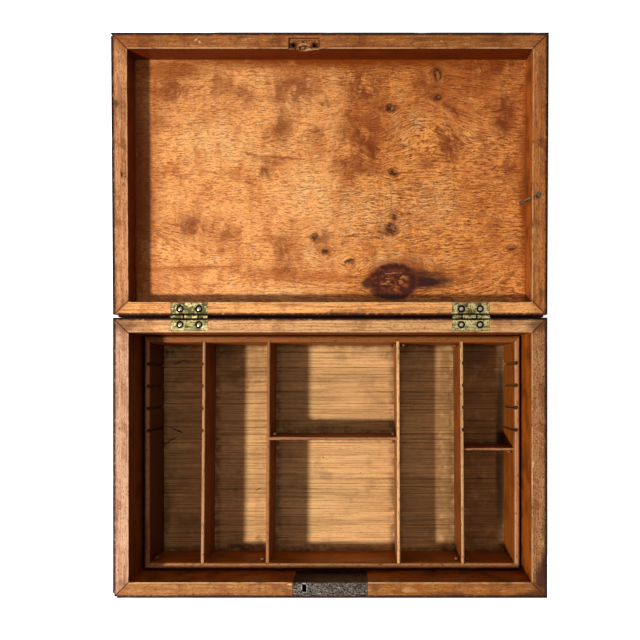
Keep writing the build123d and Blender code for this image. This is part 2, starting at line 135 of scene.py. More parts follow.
class MetalLook(bpy.types.PropertyGroup):
    """Brass, steel and iron."""

    brass: hue("Brass", "Where the hinge is rubbed bright", "#c6b273")
    bright: hue("Bright brass", "Where hands have kept it clean", "#dccb90")
    tarnish: hue("Tarnish", "Greenish brown film on the brass", "#4a4426")
    # Grime also paints shade: the screws' dark ground, the shadow line round the leaves, and shade in the seams and
    # countersinks
    grime_and_shade: hue("Grime", "Black dirt round screws and along edges", "#140d07")
    steel: hue("Steel", "Screw heads", "#b5ae9c")
    iron: hue("Iron", "Lock plate", "#5f574f")
    rust: hue("Rust", "Brown film on the iron", "#2a1710")
    nail: hue("Nail", "Grey green film on the nails", "#6e6446")


class StageLook(bpy.types.PropertyGroup):
    """Lamps, floor and camera."""

    key_power: FloatProperty(name="Key power", description="Power of the key lamp", unit="POWER", default=22.5)
    key_size: length("Key size", "Width of the key lamp", 130)
    sky: FloatProperty(name="Sky", description="Strength of the plain sky", min=0, default=0.3)
    lens: FloatProperty(name="Lens", description="Focal length in millimetres", min=1, default=34.45)


class BoxLook(bpy.types.PropertyGroup):
    """All finishes of the document box."""

    rim: PointerProperty(type=RimLook)
    panel: PointerProperty(type=PanelLook)
    tray: PointerProperty(type=TrayLook)
    veneer: PointerProperty(type=VeneerLook)
    metal: PointerProperty(type=MetalLook)
    stage: PointerProperty(type=StageLook)


def add(tree, kind, *inputs, **settings):
    """Adds a node; its inputs come in order or by name, each a value, a socket, or a node for its first output."""
    node = tree.nodes.new("ShaderNode" + kind)
    for name, value in settings.items():
        setattr(node, name, value)
    named = inputs[0] if inputs and isinstance(inputs[0], dict) else dict(enumerate(inputs))
    for key, value in named.items():
        if isinstance(key, int):
            socket = node.inputs[key]
        else:
            socket = next(s for s in node.inputs if s.enabled and s.name == key)
        if isinstance(value, bpy.types.Node):
            value = next(s for s in value.outputs if s.enabled)
        if isinstance(value, bpy.types.NodeSocket):
            tree.links.new(value, socket)
        else:
            socket.default_value = value
    return node


def start(name):
    """A new material with an empty node tree."""
    material = bpy.data.materials.new(name)
    material.use_nodes = True
    material.node_tree.nodes.clear()
    return material, material.node_tree


def end(tree, colour, roughness, sunk, depth, specular=0.5, metallic=0.0):
    """Ends a material in one Principled surface; its sunk pattern goes this many millimetres deep."""
    bump = add(tree, "Bump", {"Height": sunk, "Distance": depth * MM}, invert=True)
    links = {"Base Color": colour, "Roughness": roughness, "Metallic": metallic, "Normal": bump}
    body = add(tree, "BsdfPrincipled", links | {"Specular IOR Level": specular})
    add(tree, "OutputMaterial", body)


def seen_from(tree, middle=(0, 0, 0), turned=0.0):
    """Object coordinates from a place, turned about Z so that X runs along the board."""
    own = add(tree, "TexCoord").outputs["Object"]
    moved = {"Vector": own, "Location": middle, "Rotation": (0, 0, turned)}
    return add(tree, "Mapping", moved, vector_type="TEXTURE")


def threads(place, size, low, high, top=1.0, detail=3.0):
    """Noise drawn out along X to threads of this length and width in millimetres, as a share."""
    tree = place.id_data
    long, wide = size[0] * MM, size[1] * MM
    drawn = add(tree, "Mapping", {"Vector": place, "Scale": (1 / long, 1 / wide, 1 / wide)})
    grain = add(tree, "TexNoise", {"Vector": drawn, "Scale": 1.0, "Detail": detail, "Roughness": 0.6})
    return add(tree, "MapRange", grain, low, high, 0.0, top, **SMOOTH)


def clouds(place, size, low, high, top=1.0, detail=4.0):
    """Soft clouds of this size in millimetres, as a share."""
    tree = place.id_data
    cloud = add(tree, "TexNoise", {"Vector": place, "Scale": 1 / (size * MM), "Detail": detail, "Roughness": 0.6})
    return add(tree, "MapRange", cloud, low, high, 0.0, top, **SMOOTH)


def spot(place, middle, reach, edge=1.0, top=1.0, turned=0.0):
    """A soft spot, in millimetres: its middle, its reach each way, and how soft its edge is."""
    tree = place.id_data
    fitted = {
        "Vector": place,
        "Location": (middle[0] * MM, middle[1] * MM, 0),
        "Rotation": (0, 0, math.radians(turned)),
        "Scale": (reach[0] * MM, reach[1] * MM, 10.0),
    }
    own = add(tree, "Mapping", fitted, vector_type="TEXTURE")
    near = add(tree, "TexGradient", own, gradient_type="SPHERICAL").outputs["Fac"]
    return add(tree, "MapRange", near, 0.0, edge, 0.0, top, **SMOOTH)


def spots(place, marks, edge):
    """Several spots as one share; a mark is its middle, its reach, its strength and perhaps its turn."""
    found = 0.0
    for x, y, wide, tall, top, *turned in marks:
        one = spot(place, (x, y), (wide, tall), edge, top, *turned)
        found = add(place.id_data, "Math", found, one, operation="MAXIMUM")
    return found


def both(*shares):
    """The share of a surface where all of these shares meet."""
    found = shares[0]
    for one in shares[1:]:
        found = add(found.id_data, "Math", found, one, operation="MULTIPLY")
    return found


def coats(tree, ground, *layers):
    """Lays colours over a ground one after another; each comes before the shares where it lies."""
    for colour, *shares in layers:
        for share in shares:
            ground = add(tree, "Mix", {"Factor": share, "A": ground, "B": colour}, data_type="RGBA")
    return ground


def facing_up(tree, low=0.55, high=0.9):
    """How far the surface faces up, from the shape's own normal."""
    normal = add(tree, "TexCoord").outputs["Normal"]
    up = add(tree, "SeparateXYZ", normal).outputs["Z"]
    return add(tree, "MapRange", up, low, high, **SMOOTH)


def ragged(place, size, reach):
    """The place moved about by noise of this size and reach in millimetres, for uneven outlines."""
    tree = place.id_data
    wander = add(tree, "TexNoise", {"Vector": place, "Scale": 1 / (size * MM), "Detail": 3.0})
    centred = add(tree, "VectorMath", wander.outputs["Color"], (0.5, 0.5, 0.5), operation="SUBTRACT")
    return add(tree, "VectorMath", centred, (2 * reach * MM, 2 * reach * MM, 0), place, operation="MULTIPLY_ADD")


def new_piece(shape, name, material):
    """A new object from a finished shape, which is freed."""
    mesh = bpy.data.meshes.new(name)
    shape.to_mesh(mesh)
    shape.free()
    mesh.materials.append(material)
    piece = bpy.data.objects.new(name, mesh)
    bpy.context.scene.collection.objects.link(piece)
    return piece


def dress(material, *nodes):
    """Gives CAD pieces their finish."""
    for node in nodes:
        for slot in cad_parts[node].material_slots:
            slot.material = material


# How a CAD board's copy is cleaned, and when a face or an edge counts as its top, its side or a mitre
WELD = 0.001 * MM
FLAT = math.radians(0.5)
UPWARD = 0.99
ON_TOP = 0.2 * MM
AT_SIDE = 0.4 * MM
SLANTED = (0.2, 0.98)
# How far apart its arrises are cut so that wear can vary, and how far the cuts stay from corners
CUT_PITCH = 7 * MM
CUT_CLEAR = 1.2 * MM
BESIDE = 3.0 * MM
LEAST_EDGE = 1.1 * MM
LEAST_GAP = 0.05 * MM
# Length of the waves in the wear and in the dents, their width, and how deep each kind of board is worn
WEAR_WAVE = 18 * MM
DENT_WAVE = 11 * MM
WAVE_WIDTH = 9 * MM
LEAST_WEAR, MEAN_WEAR, WEAR_SWING = 0.25, 0.7, 0.5
DENTS_FROM = 0.25
MITRE_WEAR = 0.5
RIM_CHIP = 0.5 * MM
VENEER_WEAR = 0.35 * MM
VENEER_CHIP = 1.2 * MM
TRAY_WEAR = 0.6 * MM


def top_outline(node):
    """Lowest and highest corner of a board's upward face."""
    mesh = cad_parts[node].data
    level = sum(corner.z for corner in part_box(node)) / 2
    faces = [face for face in mesh.polygons if face.normal.z > UPWARD and face.center.z > level]
    points = [mesh.vertices[i].co for face in faces for i in face.vertices]
    low = Vector([min(point[i] for point in points) for i in range(3)])
    high = Vector([max(point[i] for point in points) for i in range(3)])
    return low, high


def worn_copy(node, body, material, wear, seed, chip):
    """A board's copy whose upper arrises are rubbed unevenly round; it stands for the board."""
    shape = bmesh.new()
    shape.from_mesh(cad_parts[node].data)
    bmesh.ops.remove_doubles(shape, verts=shape.verts, dist=WELD)
    bmesh.ops.dissolve_limit(shape, angle_limit=FLAT, verts=shape.verts, edges=shape.edges)
    low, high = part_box(node)
    along = 0 if high.x - low.x > high.y - low.y else 1
    across = 1 - along
    face = max((f for f in shape.faces if f.normal.z > UPWARD), key=lambda f: f.calc_area())
    level, up = face.calc_center_median(), face.normal.copy()
    draw = random.Random(seed)
    step = Vector((1 - along, along, 0))
    outline = top_outline(node)
    width = outline[1][across] - outline[0][across]
    first, last = low[along] + width, high[along] - width

    def on_top(point):
        return abs((point - level).dot(up)) < ON_TOP

    # A cutout's mouth stays sharp, and so does the arris beside it
    stops = [v.co[along] for v in shape.verts if first < v.co[along] < last and on_top(v.co)]
    places = [stop + side * BESIDE for stop in stops for side in (-1, 1)]
    place = low[along] + CUT_PITCH
    while place < high[along] - CUT_PITCH:
        places.append(place)
        place += CUT_PITCH * draw.uniform(0.6, 1.4)
    for place in places:
        if all(abs(v.co[along] - place) > CUT_CLEAR for v in shape.verts):
            whole = shape.verts[:] + shape.edges[:] + shape.faces[:]
            bmesh.ops.bisect_plane(shape, geom=whole, dist=WELD, plane_co=step * place, plane_no=step)
    tops = {f for f in shape.faces if f.normal.dot(up) > 0.9999 and on_top(f.calc_center_median())}
    weight = shape.edges.layers.float.new("bevel_weight_edge")
    rubbed = set()
    for edge in shape.edges:
        if len(edge.link_faces) == 2 and sum(f in tops for f in edge.link_faces) == 1:
            run = (edge.verts[1].co - edge.verts[0].co).normalized()
            point = (edge.verts[0].co + edge.verts[1].co) / 2
            by_side = min(abs(point[across] - corner[across]) for corner in outline) < AT_SIDE
            clear = all(abs(v.co[along] - stop) > CUT_CLEAR for v in edge.verts for stop in stops)
            slanted = SLANTED[0] < abs(run[across]) < SLANTED[1]
            if edge.calc_length() > LEAST_EDGE and (slanted or by_side and clear):
                wave = noise.noise(Vector((point[along] / WEAR_WAVE, seed, point[across] / WAVE_WIDTH)))
                # A strip beside a housing may be narrower than the wear
                face = next(f for f in edge.link_faces if f in tops)
                gaps = [abs(v.co[across] - point[across]) for v in face.verts]
                room = min((gap for gap in gaps if gap > LEAST_GAP), default=wear) * 0.6 / wear
                edge[weight] = MITRE_WEAR if slanted else min(1.0, room, max(LEAST_WEAR, MEAN_WEAR + WEAR_SWING * wave))
                rubbed.update(() if slanted else edge.verts)
    for vert in rubbed:
        dent = noise.noise(Vector((vert.co[along] / DENT_WAVE, 7.3 + seed, vert.co[across] / WAVE_WIDTH)))
        vert.co.z -= chip * max(0.0, dent - DENTS_FROM)
    piece = new_piece(shape, "worn_" + node, material)
    round_over = piece.modifiers.new("wear", "BEVEL")
    round_over.limit_method = "WEIGHT"
    round_over.width = wear
    round_over.segments = 2
    round_over.profile = 0.5
    round_over.use_clamp_overlap = False
    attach(piece, body)
    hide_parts(node)


# Each rim board: colour of its rim and of its faces, how blotched and speckled, and its outer side
RIM_BOARDS = {
    "base_wall_front": ("#a86e34", "#a8540f", 0.8, 0.3, -1),
    "base_wall_back": ("#e6a96f", "#8a4510", 0.5, 0.15, 1),
    "base_wall_left": ("#cc9b79", "#7c3a10", 0.5, 0.3, 1),
    "base_wall_right": ("#ba804f", "#a8540f", 0.7, 0.9, -1),
    "lid_wall_front": ("#b46d35", "#682405", 1.0, 0.35, 1),
    "lid_wall_back": ("#ffaf64", "#a8540f", 0.4, 0.1, -1),
    "lid_wall_left": ("#d39160", "#733014", 0.75, 0.3, 1),
    "lid_wall_right": ("#c67738", "#b46020", 0.8, 0.35, -1),
}

# Dark marks on the rims, a few of them painted shade, in millimetres on the box: middle, reach, strength, and any turn
# in degrees
RIM_MARKS = (
    (-215, 357, 4.5, 6, 0.75), (-214, 354, 7, 16, 0.3), (-210, 286, 2.2, 5.5, 0.9, 10),
    (-206, 284, 3.5, 0.8, 0.8, 20), (-208, 276, 2, 4, 0.4), (-88, 423.5, 7, 1.6, 0.75), (10, 421, 9, 4, 0.35),
    (92, 421, 14, 3.5, 0.4), (160, 420, 16, 3, 0.3), (-55, 419, 12, 4, 0.4), (-170, 419, 18, 4, 0.3),
    (212, 320, 2, 2, 0.9), (212, 319, 4, 7, 0.3), (211, 298, 1, 1, 0.8), (213, 390, 6, 24, 0.45),
    (208.5, 276, 2.4, 0.7, 0.9, -55), (211, 252, 0.8, 0.8, 0.8), (210, 236, 0.8, 0.8, 0.8),
    (214, 166, 4, 9, 0.5), (-207, 134, 22, 9, 0.5), (-168, 136, 12, 3, 0.25), (211, 134, 16, 9, 0.6),
    (-217, 96, 2, 3, 0.7), (-217, 66, 2, 2, 0.7), (-213, 30, 0.9, 3, 0.6), (-216, -60, 1.6, 8, 0.4),
    (-211, -126, 7, 6, 0.35), (214, -118, 9, 26, 0.8, -8), (208, -138, 24, 6, 0.75, 10),
    (216, -70, 3, 22, 0.45), (216, 60, 4, 30, 0.35), (217, -112, 6, 28, 0.95), (213, -126, 9, 13, 0.85),
    (215, -122, 12, 24, 0.9), (204, -140, 24, 6, 0.85), (120, -138, 40, 3.5, 0.45),
    (-120, -139, 50, 2.5, 0.4), (-45, -134, 5, 4, 0.4), (45, -132, 7, 5, 0.45), (68, -136, 12, 3, 0.3),
    # In the lost link plate's recess: dirt and torn wood with painted shade in its screw holes, and a painted shadow
    # under its edge; by the stay nail a dark chip with a painted shadow, and painted shade round the nail's head
    (-37.2, 416, 7.4, 6, 1), (-15.4, 416, 6.8, 6.4, 1), (-26, 420.5, 14, 0.9, 0.9), (-41, 416, 1.4, 6, 0.9),
    (-10.5, 416, 1.4, 6, 0.8), (-26, 414, 6, 1.2, 0.8, 8), (-7, 412.2, 8, 1.4, 0.95, -4),
    (-30, 411.8, 10, 0.8, 0.8), (205.4, 263, 1.6, 4, 0.9), (210, 264.8, 4, 4, 1),
)

# Where the rims keep some of their varnish
RIM_VARNISH = (
    (128, -133, 110, 16, 0.8), (105, 420, 120, 16, 0.6), (-190, 420, 60, 16, 0.5),
)

# Light marks on the rims: chips and bare knots
RIM_CHIPS = (
    (-134.5, 420.5, 2.2, 1.2, 0.9, 30), (-131, 418.5, 1.8, 0.9, 0.8, -40), (80, -134, 9, 3, 0.3),
    (-201, 271, 1.5, 3, 0.5), (204.4, -20, 1, 16, 0.95), (205.4, -6, 1.2, 5, 0.9), (-41, -128, 3, 1.2, 0.8),
    (112, 419, 2, 0.7, 0.6, -30), (187, 139, 3, 0.9, 0.8), (198, 139.4, 2.4, 0.9, 0.8),
    (-27, 416.6, 4.4, 1.8, 0.9, 4), (-22, 413.2, 4, 1, 0.8, -6),
)


def rim_wood(look, node):
    """Beech frame board, waxed and worn: bare and dull on the rim, varnished on its faces."""
    bare, varnish, blotched, speckled, outside = RIM_BOARDS[node]
    low, high = top_outline(node)
    size = high - low
    long_board = size.x > size.y
    half, reach = (size.y / 2, size.x / 2) if long_board else (size.x / 2, size.y / 2)
    material, tree = start("worn_beech_" + node)
    flat = seen_from(tree)
    place = seen_from(tree, (low + high) / 2, 0.0 if long_board else QUARTER)
    split = add(tree, "SeparateXYZ", place)
    run = add(tree, "Math", split.outputs["X"], operation="ABSOLUTE")
    out = add(tree, "Math", split.outputs["Y"], float(outside), operation="MULTIPLY")
    off = add(tree, "Math", out, operation="ABSOLUTE")
    dent = clouds(place, 6, 0.35, 0.75, 0.9 * MM, 6.0)
    dented = add(tree, "Math", off, dent, operation="ADD")
    slant = add(tree, "Math", out, run, operation="SUBTRACT")
    gap = add(tree, "Math", slant, reach - half, operation="ADD")
    gap = add(tree, "Math", gap, operation="ABSOLUTE")
    # Dirt lies along both arrises and follows their dents, the outer side is darker, and the inner arris
    # is paler, as hands and papers rub it; the mitre is a fine dark joint with handling dirt about it
    arris, dark_side, near, inner, joint, by_joint = [
        add(tree, "MapRange", value, none, full, 0.0, top, **SMOOTH)
        for value, none, full, top in (
            # What is measured, where its share is none and where it is full, and the full share
            (dented, half - 0.6 * MM, half + 0.5 * MM, 1.0),
            (out, half - 2.6 * MM, half - 0.9 * MM, 1.0),
            (off, 0.44 * half, 1.04 * half, 1.0),
            (out, 1.6 * MM - half, 0.5 * MM - half, 1.0),
            (gap, 1.0 * MM, 0.35 * MM, 0.92),
            (gap, 16 * MM, 0.0, 0.45),
        )
    ]
    dark_side = both(dark_side, clouds(place, 5, 0.2, 0.5, 0.95))
    edge_dirt = both(near, clouds(place, 16, 0.46, 0.74, 0.6))
    inner = both(inner, threads(place, (24, 9), 0.34, 0.58, 0.75))
    streak = threads(place, (45, look.fibre_width / MM), 0.46, 0.64, 0.62)
    broad = threads(place, (50, 6), 0.46, 0.66, 0.4 * blotched + 0.1)
    stain = clouds(place, 20, 0.5, 0.66, 0.95 * blotched, 6.0)
    fleck = threads(place, (look.fleck_length / MM, 0.9), 0.57, 0.67, 0.75)
    sheen = threads(place, (9, 1.6), 0.5, 0.66, 0.35)
    speckle = clouds(place, 1.7, 0.52, 0.66, speckled, 2.0)
    kept = both(spots(flat, RIM_VARNISH, 0.5), clouds(place, 14, 0.3, 0.55))
    mark = spots(ragged(flat, 3.5, 1.4), RIM_MARKS, 0.75)
    chip = spots(ragged(flat, 2.0, 0.8), RIM_CHIPS, 0.4)
    rim = coats(
        tree, linear(bare), (look.kept_varnish, kept), (look.chip, sheen), (look.fibre, streak, broad, stain),
        (look.fleck, speckle, fleck), (look.fibre, by_joint), (look.grime_and_shade, edge_dirt, mark, arris),
        (look.chip, chip, inner), (look.grime_and_shade, dark_side, joint),
    )
    face_streak = threads(place, (80, 1.8), 0.35, 0.75, 0.7)
    face_dirt = clouds(place, 20, 0.42, 0.7, 0.7)
    face = coats(tree, linear(varnish), (look.varnish_dark, face_streak, face_dirt))
    up = facing_up(tree)
    rough = add(tree, "MapRange", {"Value": up, "To Min": 0.4, "To Max": 0.62})
    sunk = add(tree, "Math", fleck, joint, operation="MAXIMUM")
    end(tree, coats(tree, face, (rim, up)), rough, sunk, 0.15, 0.15)
    return material


# The lid's figured board, in millimetres on the box: middle, reach, strength, and any turn in degrees
SMALL_KNOTS = (
    (110.8, 397, 6, 10, 0.85, 8), (111.7, 372.6, 5.5, 4.5, 0.95), (62, 362, 7, 6, 0.95, -20),
    (64.5, 295.5, 7, 4.5, 0.9, -10), (62.7, 237, 9, 10, 0.9, 25), (66.3, 249, 4, 4.5, 0.85),
    (-16.7, 227.5, 6, 7, 0.85, 20), (-6.2, 213.5, 5.5, 3.5, 0.9), (18.8, 203, 7, 3.4, 0.8, 15),
    (188, 215, 7, 2.6, 0.7, 20),
)
# Light wood at the heart of a knot
HEARTS = (
    (111.4, 396, 2.6, 6.5, 0.54, 8), (113, 373.4, 1.8, 1.4, 0.42), (63.6, 362, 1.4, 4, 0.54),
    (66.6, 296.6, 2.4, 1.4, 0.48), (64.5, 238.5, 2.2, 4.4, 0.42, 25), (-14.6, 225, 2.4, 2.6, 0.48),
)
SMOKE = (
    (-166, 380, 26, 27, 0.78), (-180, 351, 19, 16, 0.67), (-113, 384, 18, 22, 0.54), (-96, 377, 16, 13, 0.65),
    (-39, 381, 40, 28, 0.78), (-50, 344, 12, 30, 0.78, -4), (-84, 370, 13, 13, 0.6), (-8, 369, 22, 8, 0.54),
    (-16, 336, 13, 20, 0.59), (32, 385, 34, 30, 0.92), (36, 336, 27, 34, 0.97, 10), (45, 318, 12, 22, 1, 12),
    (16, 304, 27, 14, 0.76, 20), (34, 297, 34, 12, 0.76), (124, 324, 22, 34, 0.9), (12, 334, 13, 18, 0.65),
    (100, 306, 14, 16, 0.6), (13, 390, 12, 16, 0.6), (104, 392, 29, 21, 0.65), (124, 360, 17, 7, 0.97, -38),
    (104, 374, 13, 9, 0.65), (54, 365, 19, 14, 0.8, -20), (182, 354, 22, 35, 1), (170, 404, 45, 13, 0.86),
    (121, 339, 13, 10, 0.54), (189, 305, 13, 27, 0.54), (200, 270, 10, 112, 0.65), (52, 237, 11, 17, 0.54),
    (0, 214, 7, 9, 0.65), (-147, 240, 28, 17, 0.81, -10), (-106, 230, 12, 12, 0.49), (-48, 208, 21, 34, 0.65),
    (-7, 229, 13, 13, 0.7), (-69, 294, 10, 12, 0.92, -25), (-62, 307, 29, 8, 0.54), (-190, 262, 11, 56, 0.49),
    (100, 190, 60, 20, 0.6, -3),
)
# Broad darker parts of the board; the long strip beside the left wall is painted shade
DEEPS_AND_WALL_SHADE = (
    (140, 384, 120, 64, 0.8), (172, 286, 64, 120, 0.35), (40, 340, 64, 66, 0.7), (-30, 392, 60, 26, 0.45),
    (-165, 384, 60, 38, 0.6), (-196, 285, 16, 150, 0.7), (-130, 240, 60, 22, 0.35, -6),
    (-190, 184, 40, 26, 0.75),
)
# Old varnish in the corners under the left wall and the front wall, and along the right wall; under the left wall it is
# also painted shade, which reddens the wall's cast shadow and softens its edge
WALL_SHADE_AND_VARNISH = (
    (-210, 285, 42, 210, 0.9), (0, 414, 300, 19, 1), (205, 285, 10, 170, 0.8), (-168, 402, 70, 18, 0.75),
)
# The wedge of darker wood that runs from the left into the big knot
WEDGE = (
    (-24, 188, 88, 9, 0.6, -4), (-150, 196, 70, 4, 0.5, 2),
)
DARK_LINES = (
    (-52, 311, 42, 1.7, 0.7, -4), (-86, 315, 12, 2.2, 0.7, -14), (-138, 197, 66, 1.1, 0.55, 2),
    (-36, 196, 72, 1, 0.45, 3), (-34, 181, 72, 1.2, 0.6, -8), (30, 175, 26, 1, 0.5, -3),
    (171, 300.5, 6, 1.2, 0.9, 42), (176, 186, 5, 1, 0.6, 30), (0, 318, 22, 1.2, 0.4, 3),
    (63, 268, 1.4, 20, 0.4), (-163, 246, 1.2, 16, 0.3), (-20, 286, 30, 1, 0.35, -2),
)
GLOWS = (
    (-120, 325, 58, 40, 0.85), (-20, 274, 50, 36, 0.85), (-60, 172, 92, 8, 0.9), (-120, 205, 30, 8, 0.6, -6),
    (100, 262, 60, 40, 0.55), (40, 252, 80, 50, 0.65), (60, 204, 90, 13, 0.8), (88, 348, 13, 18, 0.95),
    (22, 276, 26, 12, 0.7), (3.6, 388, 4, 19, 0.5, 4), (6, 346, 12, 26, 0.5), (44, 341, 12, 8, 0.55, 10),
    (80, 328, 13, 24, 0.6), (68, 346, 8, 14, 0.5), (70, 376, 10, 12, 0.4), (112, 386, 5, 6, 0.7),
    (-22, 208, 8, 16, 0.85), (150, 330, 26, 14, 0.4, -14), (-128, 386, 7, 18, 0.4), (-78, 388, 8, 14, 0.5),
)
# Half of the board's length and width between the walls
PANEL_HALF = (204, 126.7)
BIG_KNOT = (65.5, 182)
BIG_KNOT_REACH = (24, 18.5)
BIG_KNOT_TAIL = (
    (97, 184, 42, 14, 0.8, -4), (94, 182, 36, 9, 1, -3), (42, 181, 15, 9, 0.9, 12), (52, 172, 16, 9, 0.9),
)
# Where the grain's lines rise or sink, in millimetres: middle, reach, rise
GRAIN_BENDS = (
    (62, 201, 46, 20, 12), (64, 163, 46, 18, -10), (96, 350, 74, 46, 20), (-200, 236, 90, 46, 16),
    (-206, 160, 84, 46, 34), (-18, 250, 60, 30, -7), (20, 330, 40, 50, 9), (190, 180, 70, 50, 9),
)
# The lines bend over and under each small knot: how far off its middle, reach and rise
KNOT_OFF, KNOT_BEND, KNOT_RISE = 7, (15, 9), 4.0
# Reach and strength of the smoky ring round a small knot
AURA = (12, 9, 0.6)


def grain_flow(flat):
    """The board's place with its lines bent round knots and figure, as a stream runs round stones."""
    tree = flat.id_data
    bends = list(GRAIN_BENDS)
    for x, y, *rest in SMALL_KNOTS:
        bends += [(x, y + side * KNOT_OFF, *KNOT_BEND, side * KNOT_RISE) for side in (-1, 1)]
    lift = 0.0
    for x, y, wide, tall, rise in bends:
        one = spot(flat, (x, y), (wide, tall), 1.0, rise * MM)
        lift = add(tree, "Math", lift, one, operation="ADD")
    drop = add(tree, "CombineXYZ", {"Y": lift})
    bent = ragged(flat, 60, 5)
    return add(tree, "VectorMath", bent, drop, operation="SUBTRACT")


def past_outline(place, middle, half):
    """How far a place lies past a rectangle in millimetres; less than none inside it."""
    tree = place.id_data
    own = add(tree, "VectorMath", place, Vector((*middle, 0)) * MM, operation="SUBTRACT")
    own = add(tree, "VectorMath", own, operation="ABSOLUTE")
    own = add(tree, "VectorMath", own, Vector((*half, 1000)) * MM, operation="SUBTRACT")
    split = add(tree, "SeparateXYZ", own)
    return add(tree, "Math", split.outputs["X"], split.outputs["Y"], operation="MAXIMUM")


def by_outline(place, middle, half, width, top):
    """Share of a surface that lies just inside a rectangle's outline, all in millimetres."""
    near = past_outline(place, middle, half)
    return add(near.id_data, "MapRange", near, -width * MM, 0.0, 0.0, top, **SMOOTH)


def big_knot(flat):
    """Shares of the big knot: its brown halo, its body, its dark rim, and its light lines."""
    tree = flat.id_data
    near = ragged(flat, 9, 3.0)
    away = add(tree, "VectorMath", near, Vector((*BIG_KNOT, 0)) * MM, operation="SUBTRACT")
    reach = (BIG_KNOT_REACH[0] * MM, BIG_KNOT_REACH[1] * MM, 1e6)
    scaled = add(tree, "VectorMath", away, reach, operation="DIVIDE")
    out = add(tree, "VectorMath", scaled, operation="LENGTH").outputs["Value"]
    halo, body, rim, inside = [
        add(tree, "MapRange", out, none, full, 0.0, top, **SMOOTH)
        for none, full, top in ((1.55, 1.0, 0.6), (1.14, 0.92, 1.0), (0.4, 0.85, 1.0), (0.75, 0.4, 1.0))
    ]
    rim = both(rim, clouds(flat, 7, 0.36, 0.54))
    mottle = clouds(flat, 6, 0.38, 0.56, 0.9, 5.0)
    dark = both(body, add(tree, "Math", rim, mottle, operation="MAXIMUM"))
    line = both(inside, threads(near, (9, 2.4), 0.52, 0.62, 0.75))
    return halo, body, dark, line


def figured_panel(look):
    """Birch board with knots and smoky figure, waxed: the grain flows round each knot."""
    low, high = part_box("lid_board")
    material, tree = start("figured_birch_panel")
    flat = seen_from(tree)
    flow = grain_flow(flat)
    wiggly = ragged(flow, 7, 0.6)
    torn = ragged(ragged(flat, 26, 12), 7, 4)
    fine = ragged(flat, 5, 1.8)
    # The right half of the board is a deeper amber than the left, with more dashes, fewer pale flames and less painted
    # sheen
    across = add(tree, "SeparateXYZ", torn).outputs["X"]
    east = add(tree, "MapRange", across, -6 * MM, 34 * MM, **SMOOTH)
    often = add(tree, "MapRange", {"Value": east, "To Min": 0.64, "To Max": 0.82})
    rare = add(tree, "MapRange", {"Value": east, "To Min": 0.75, "To Max": 0.15})
    # Figure stands across the grain in soft upright streaks
    haze = threads(torn, (8, 22), 0.3, 0.56, 1.0, 5.0)
    smoke = both(spots(torn, SMOKE, 0.85), haze)
    upright = threads(torn, (11, 60), 0.5, 0.66, 0.4, 4.0)
    # Broad darker wood, with painted shade beside the left wall
    broad = both(spots(torn, DEEPS_AND_WALL_SHADE, 1.0), clouds(flow, 18, 0.25, 0.55))
    glow = both(spots(torn, GLOWS, 0.9), clouds(flow, 12, 0.3, 0.56))
    deep = clouds(flow, 26, 0.46, 0.68, 0.5)
    fibre = threads(flow, (60, 2.6), 0.48, 0.7, 0.35)
    patches = clouds(flow, 12, 0.22, 0.55)
    dash = both(threads(wiggly, (look.dash_length / MM, look.dash_width / MM), 0.49, 0.6), often, patches)
    long_dash = both(threads(wiggly, (18, 1.2), 0.5, 0.62, 0.55), east)
    short = threads(wiggly, (look.dash_length * 0.35 / MM, look.dash_width * 0.9 / MM), 0.52, 0.62, 0.75)
    # Painted sheen: pale threads for the chatoyance of the figure
    painted_sheen = both(threads(flow, (30, 6), 0.52, 0.68, 0.5), rare)
    pale = threads(wiggly, (look.dash_length * 0.6 / MM, look.dash_width * 1.4 / MM), 0.52, 0.68, 1.0, 4.0)
    halo, body, dark, line = big_knot(flat)
    knots = both(spots(fine, SMALL_KNOTS, 0.6), clouds(flat, 2.6, 0.3, 0.5))
    aura = spots(torn, [(x, y, *AURA) for x, y, *rest in SMALL_KNOTS], 1.0)
    # Old varnish along the walls, and painted shade in the left wall's shadow
    painted_shade_and_varnish = both(spots(flat, WALL_SHADE_AND_VARNISH, 0.8), clouds(torn, 10, 0.05, 0.45))
    middle = (low + high).xy / 2 / MM
    # A narrow band just inside the walls is painted darker, in the shade colour
    edge = by_outline(ragged(flat, 8, 0.8), middle, PANEL_HALF, 2.0, 0.8)
    colour = coats(
        tree, look.light, (look.amber, east), (look.deep, deep), (look.glow, glow, painted_sheen), (look.deep, broad, fibre),
        (look.glow, both(pale, rare)), (look.deep, spots(fine, WEDGE, 0.6), upright),
        (look.smoke, smoke, aura), (look.shade, painted_shade_and_varnish), (look.dash, long_dash, dash, both(short, often)),
        (look.smoke, spots(fine, DARK_LINES, 0.8)), (look.knot, knots),
        (look.bark, spots(fine, HEARTS, 0.5)), (look.smoke, halo),
        (look.knot, spots(fine, BIG_KNOT_TAIL, 0.55)), (look.smoke, body), (look.knot, dark),
        (look.bark, line), (look.shade, edge),
    )
    end(tree, colour, 0.4, dash, 0.08, 0.15)
    return material


